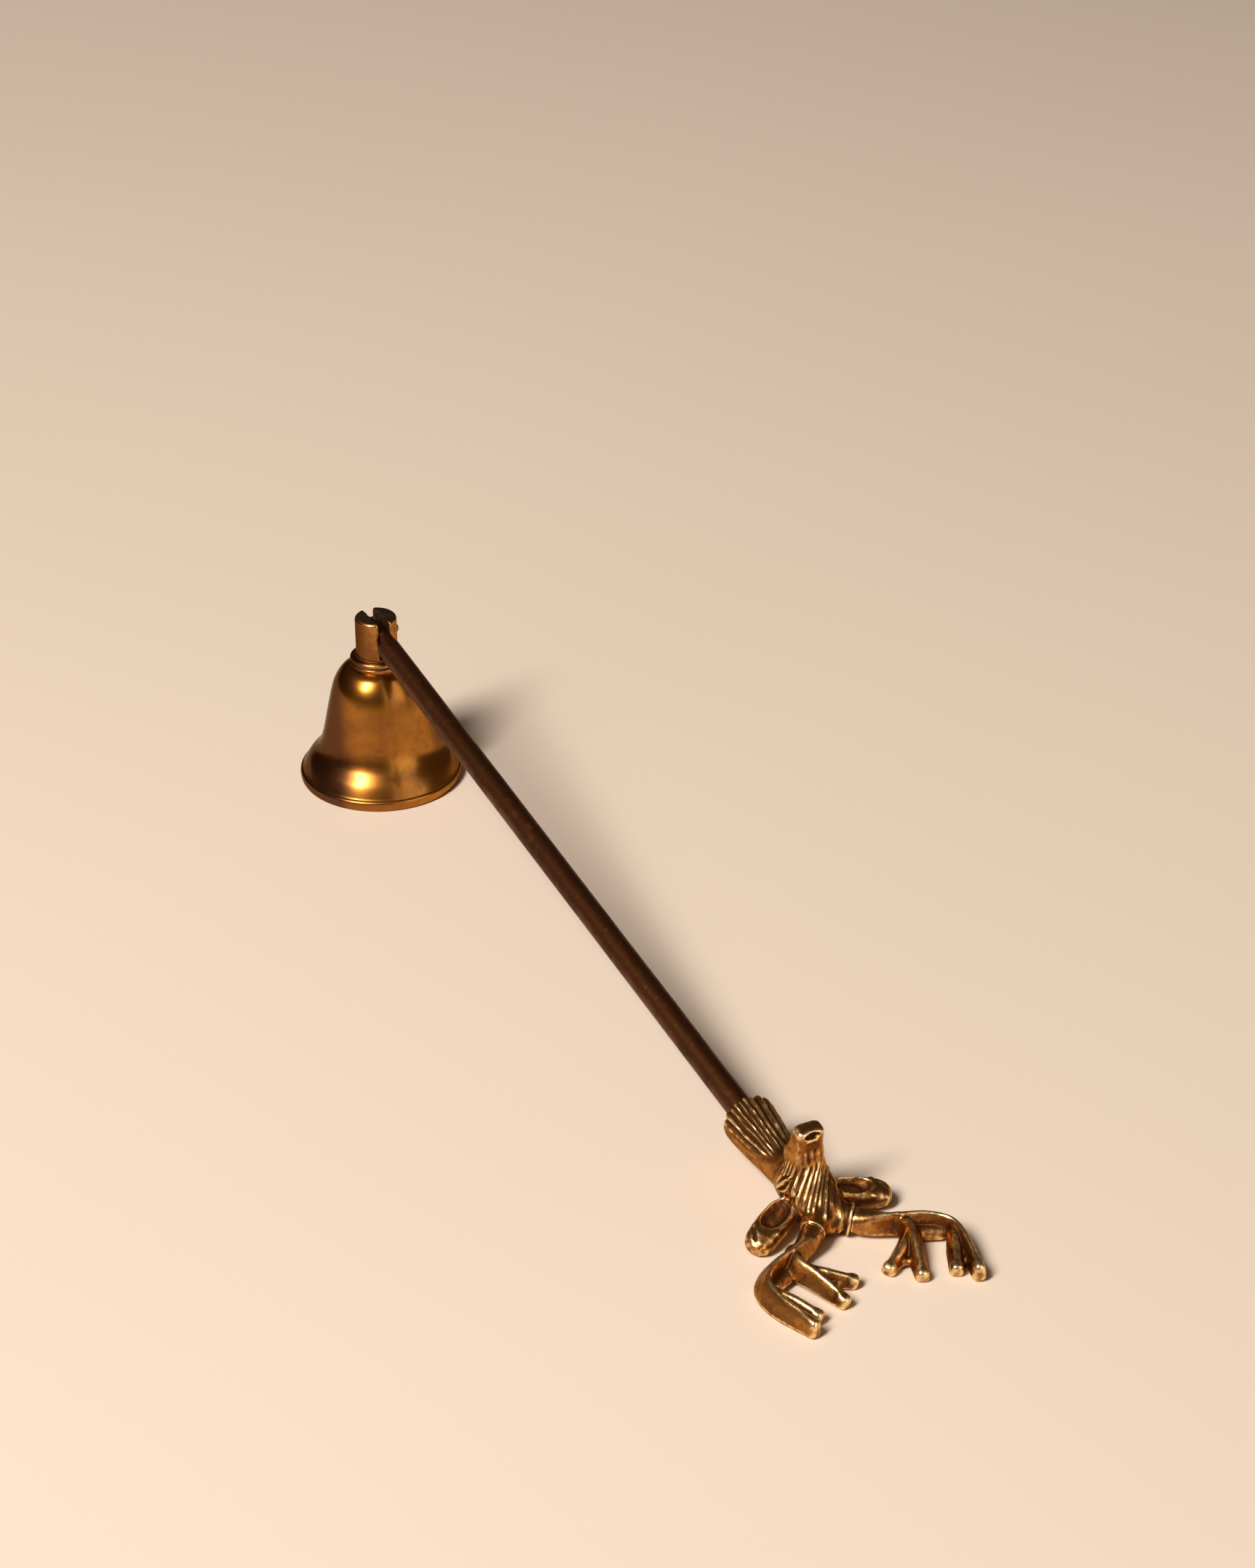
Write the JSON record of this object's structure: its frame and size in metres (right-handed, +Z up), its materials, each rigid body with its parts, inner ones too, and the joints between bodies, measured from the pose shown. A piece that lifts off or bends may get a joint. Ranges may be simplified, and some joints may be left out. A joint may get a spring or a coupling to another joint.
{
  "type": "candle snuffer",
  "caption": "Hinged candle snuffer: a bell on a fork post swings on a pin at the end of a round rod handle with a cast stag's head finial.",
  "frame": {"origin": "centre of the bell's mouth, on the surface that the snuffer stands on", "axes": "+X along the handle from the bell to the antlers, seen from above; +Z up along the bell's axis; +Y to the side of the hinge pin's proud end"},
  "size_m": [0.2646, 0.0486, 0.0438],
  "materials": {
    "bell_brass": "polished, lightly tarnished",
    "fork_brass": "satin, tarnished",
    "pin_brass": "satin",
    "screw_brass": "satin",
    "rod_bronze": "dark bronzed patina",
    "cast_brass": "antique cast, dark in the recesses"
  },
  "bodies": {
    "handle": {"rod": "rod_bronze", "stag_head": "cast_brass", "antler_left": "cast_brass", "antler_right": "cast_brass"},
    "snuffer bell": {"bell": "bell_brass", "fork_post": "fork_brass", "hinge_pin": "pin_brass", "crown_screw": "screw_brass", "crown_washer": "screw_brass"}
  },
  "joints": [
    {"name": "bell_swing", "type": "hinge", "parent": "handle", "child": "snuffer bell", "pos_m": [0, 0, 0.0393], "axis": [0, 1, 0], "range_deg": [-10, 104]}
  ]
}
